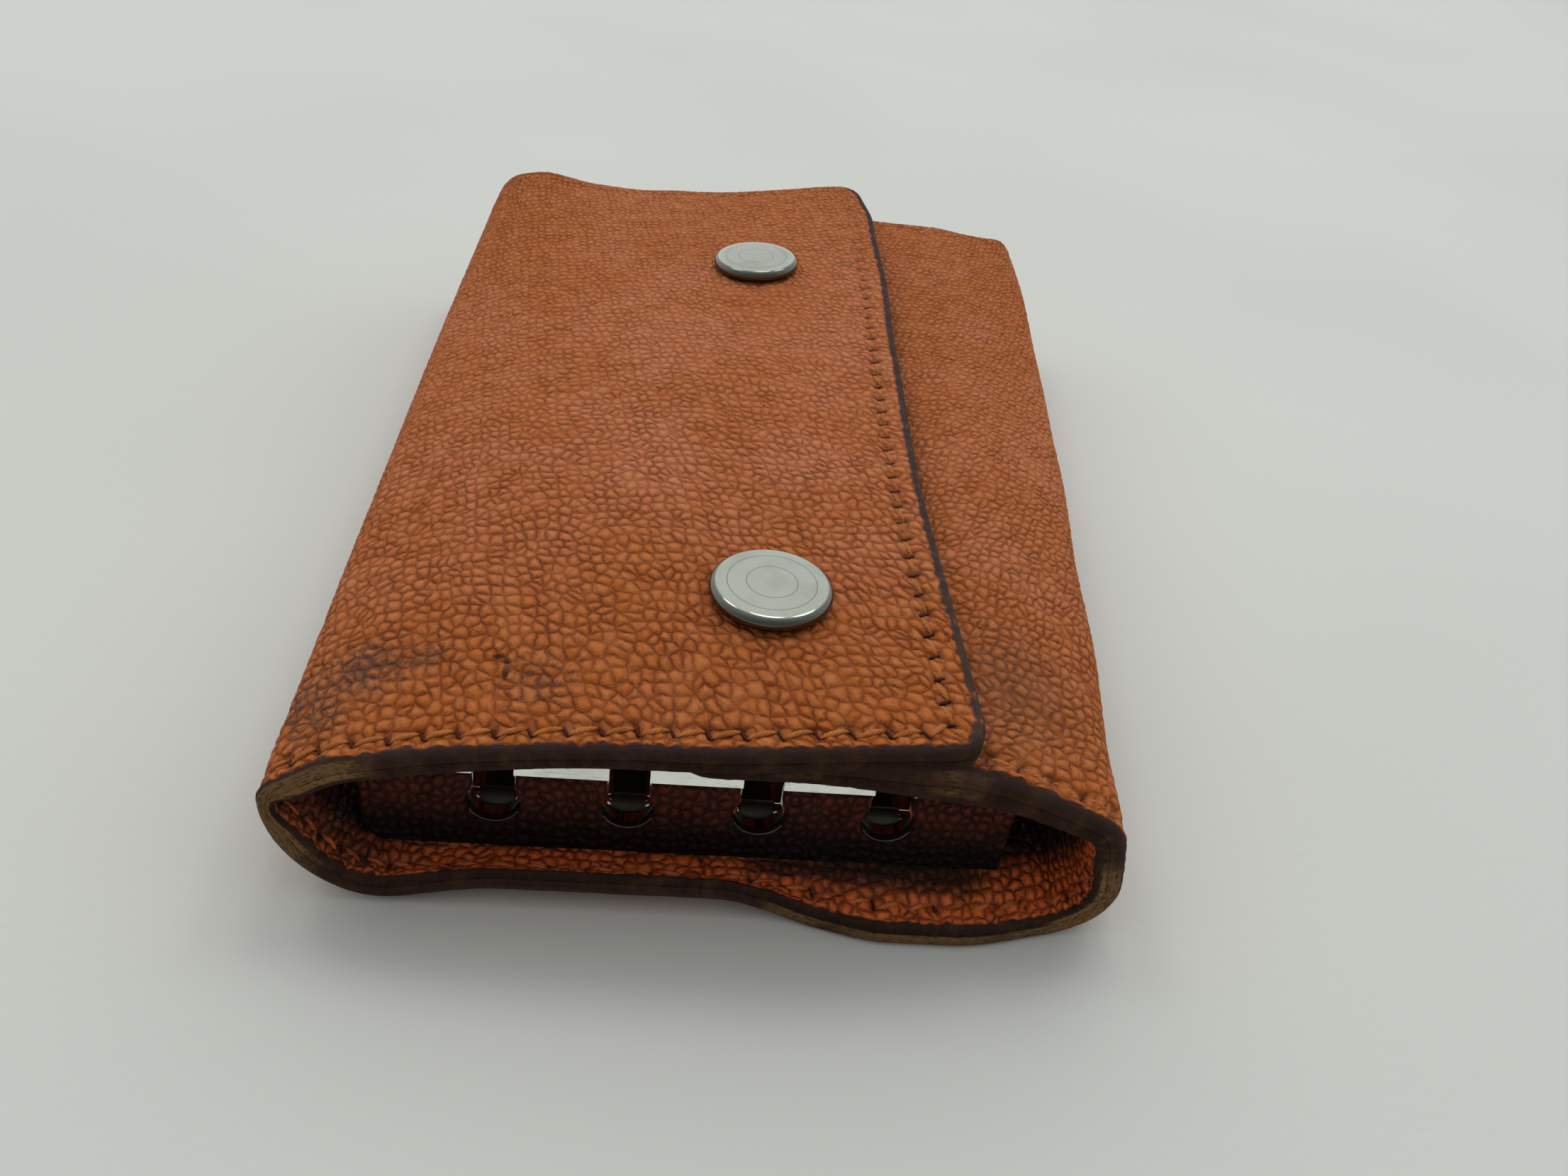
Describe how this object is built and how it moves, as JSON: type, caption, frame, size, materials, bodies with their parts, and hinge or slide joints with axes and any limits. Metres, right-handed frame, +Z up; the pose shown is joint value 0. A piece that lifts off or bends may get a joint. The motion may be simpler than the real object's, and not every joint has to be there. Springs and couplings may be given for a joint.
{
  "type": "key case",
  "caption": "Folded grained-leather key case with a snap-closed flap over an under panel, a keyhole key bar at its open end and swinging gated key hooks.",
  "frame": {"origin": "on the underside, mid-length, halfway between the two folds at the key bar's end", "axes": "+X from the left fold to the right fold, +Y from the key bar's end to the open far end, +Z up through the flap"},
  "size_m": [0.0775, 0.108, 0.0211],
  "materials": {
    "outer_leather": "pebble grain",
    "lining_leather": "fine grain",
    "facing_leather": "smooth",
    "bar_steel": "polished nickel plate",
    "hook_steel": "worn nickel plate",
    "snap_metal": "polished nickel plate"
  },
  "bodies": {
    "base": {"base_outer": "outer_leather", "base_lining": "lining_leather", "bar_backing_plate": "bar_steel", "key_bar": "bar_steel", "key_bar_cover": "facing_leather", "bar_rivets": "bar_steel", "hook_axle": "bar_steel", "axle_spacers": "bar_steel"},
    "top_flap": {"flap_outer": "outer_leather", "flap_lining": "lining_leather", "snap_cap_front": "snap_metal", "snap_cap_rear": "snap_metal", "snap_socket_front": "snap_metal", "snap_socket_rear": "snap_metal"},
    "under_panel": {"panel_outer": "outer_leather", "panel_lining": "lining_leather", "snap_stud_front": "snap_metal", "snap_stud_rear": "snap_metal", "snap_eyelet_front": "snap_metal", "snap_eyelet_rear": "snap_metal"},
    "hook_1": {"key_hook_1": "hook_steel", "gate_pin_1": "hook_steel"},
    "gate_1": {"hook_gate_1": "hook_steel"},
    "hook_2": {"key_hook_2": "hook_steel", "gate_pin_2": "hook_steel"},
    "gate_2": {"hook_gate_2": "hook_steel"},
    "hook_3": {"key_hook_3": "hook_steel", "gate_pin_3": "hook_steel"},
    "gate_3": {"hook_gate_3": "hook_steel"},
    "hook_4": {"key_hook_4": "hook_steel", "gate_pin_4": "hook_steel"},
    "gate_4": {"hook_gate_4": "hook_steel"}
  },
  "joints": [
    {"name": "flap_fold", "type": "hinge", "parent": "base", "child": "top_flap", "pos_m": [-0.0327, 0, 0.009], "axis": [0, -1, 0], "range_deg": [0, 172]},
    {"name": "panel_fold", "type": "hinge", "parent": "base", "child": "under_panel", "pos_m": [0.03895, 0, 0.009], "axis": [0.115, 0.9934, 0], "range_deg": [0, 121]},
    {"name": "hook_swing_1", "type": "hinge", "parent": "base", "child": "hook_1", "pos_m": [-0.0162, -0.04704, 0.00482], "axis": [1, 0, 0], "range_deg": [0, 15]},
    {"name": "gate_swing_1", "type": "hinge", "parent": "hook_1", "child": "gate_1", "pos_m": [-0.0162, -0.0367, 0.00425], "axis": [-1, 0, 0], "range_deg": [0, 30], "stiffness_Nm_per_rad": 0.001, "springref_deg": -5.73},
    {"name": "hook_swing_2", "type": "hinge", "parent": "base", "child": "hook_2", "pos_m": [-0.006, -0.04704, 0.00482], "axis": [1, 0, 0], "range_deg": [0, 15]},
    {"name": "gate_swing_2", "type": "hinge", "parent": "hook_2", "child": "gate_2", "pos_m": [-0.006, -0.0367, 0.00425], "axis": [-1, 0, 0], "range_deg": [0, 30], "stiffness_Nm_per_rad": 0.001, "springref_deg": -5.73},
    {"name": "hook_swing_3", "type": "hinge", "parent": "base", "child": "hook_3", "pos_m": [0.0042, -0.04704, 0.00482], "axis": [1, 0, 0], "range_deg": [0, 15]},
    {"name": "gate_swing_3", "type": "hinge", "parent": "hook_3", "child": "gate_3", "pos_m": [0.0042, -0.0367, 0.00425], "axis": [-1, 0, 0], "range_deg": [0, 30], "stiffness_Nm_per_rad": 0.001, "springref_deg": -5.73},
    {"name": "hook_swing_4", "type": "hinge", "parent": "base", "child": "hook_4", "pos_m": [0.0144, -0.04704, 0.00482], "axis": [1, 0, 0], "range_deg": [0, 15]},
    {"name": "gate_swing_4", "type": "hinge", "parent": "hook_4", "child": "gate_4", "pos_m": [0.0144, -0.0367, 0.00425], "axis": [-1, 0, 0], "range_deg": [0, 30], "stiffness_Nm_per_rad": 0.001, "springref_deg": -5.73}
  ],
  "couplings": [
    {"joint": "panel_fold", "follows": "flap_fold", "ratio": 0.7}
  ]
}
